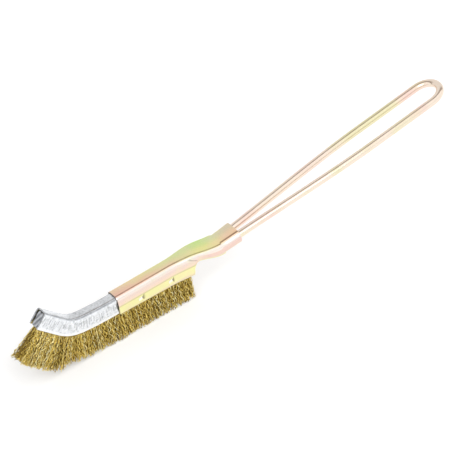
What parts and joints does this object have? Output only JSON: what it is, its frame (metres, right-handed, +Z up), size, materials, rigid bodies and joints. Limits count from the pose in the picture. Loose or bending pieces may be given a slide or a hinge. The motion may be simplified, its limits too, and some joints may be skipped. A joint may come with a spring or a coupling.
{
  "type": "wire brush",
  "caption": "Narrow brass wire strip brush with an upturned tip, a pressed steel sleeve and a long hairpin wire handle, for cleaning grill bars and tight gaps.",
  "frame": {"origin": "under the middle of the brush's bounding box, on the plane of the trimmed bristle ends", "axes": "+X from the bristles towards the handle's loop, +Z up from the bristle ends to the back of the strip, +Y across"},
  "size_m": [0.2252, 0.016, 0.0348],
  "materials": {
    "plated_steel": "yellow chromate plating, smooth, faintly iridescent",
    "galvanised_steel": "bright galvanised strip with crimp marks",
    "plain_steel": "drawn wire",
    "brass_bristles": "crimped drawn brass wire"
  },
  "bodies": {
    "root": {"handle_loop": "plated_steel", "clamp_sleeve": "plated_steel", "brush_channel": "galvanised_steel", "core_wire": "plain_steel", "end_plate": "galvanised_steel", "bristle_section_01": "brass_bristles", "bristle_section_02": "brass_bristles", "bristle_section_03": "brass_bristles", "bristle_section_04": "brass_bristles", "bristle_section_05": "brass_bristles", "bristle_section_06": "brass_bristles", "bristle_section_07": "brass_bristles", "bristle_section_08": "brass_bristles", "bristle_section_09": "brass_bristles", "bristle_section_10": "brass_bristles", "bristle_section_11": "brass_bristles", "bristle_section_12": "brass_bristles", "bristle_section_13": "brass_bristles", "bristle_section_14": "brass_bristles", "bristle_section_15": "brass_bristles", "bristle_section_16": "brass_bristles", "bristle_section_17": "brass_bristles", "bristle_section_18": "brass_bristles", "bristle_section_19": "brass_bristles", "bristle_section_20": "brass_bristles"}
  },
  "joints": []
}
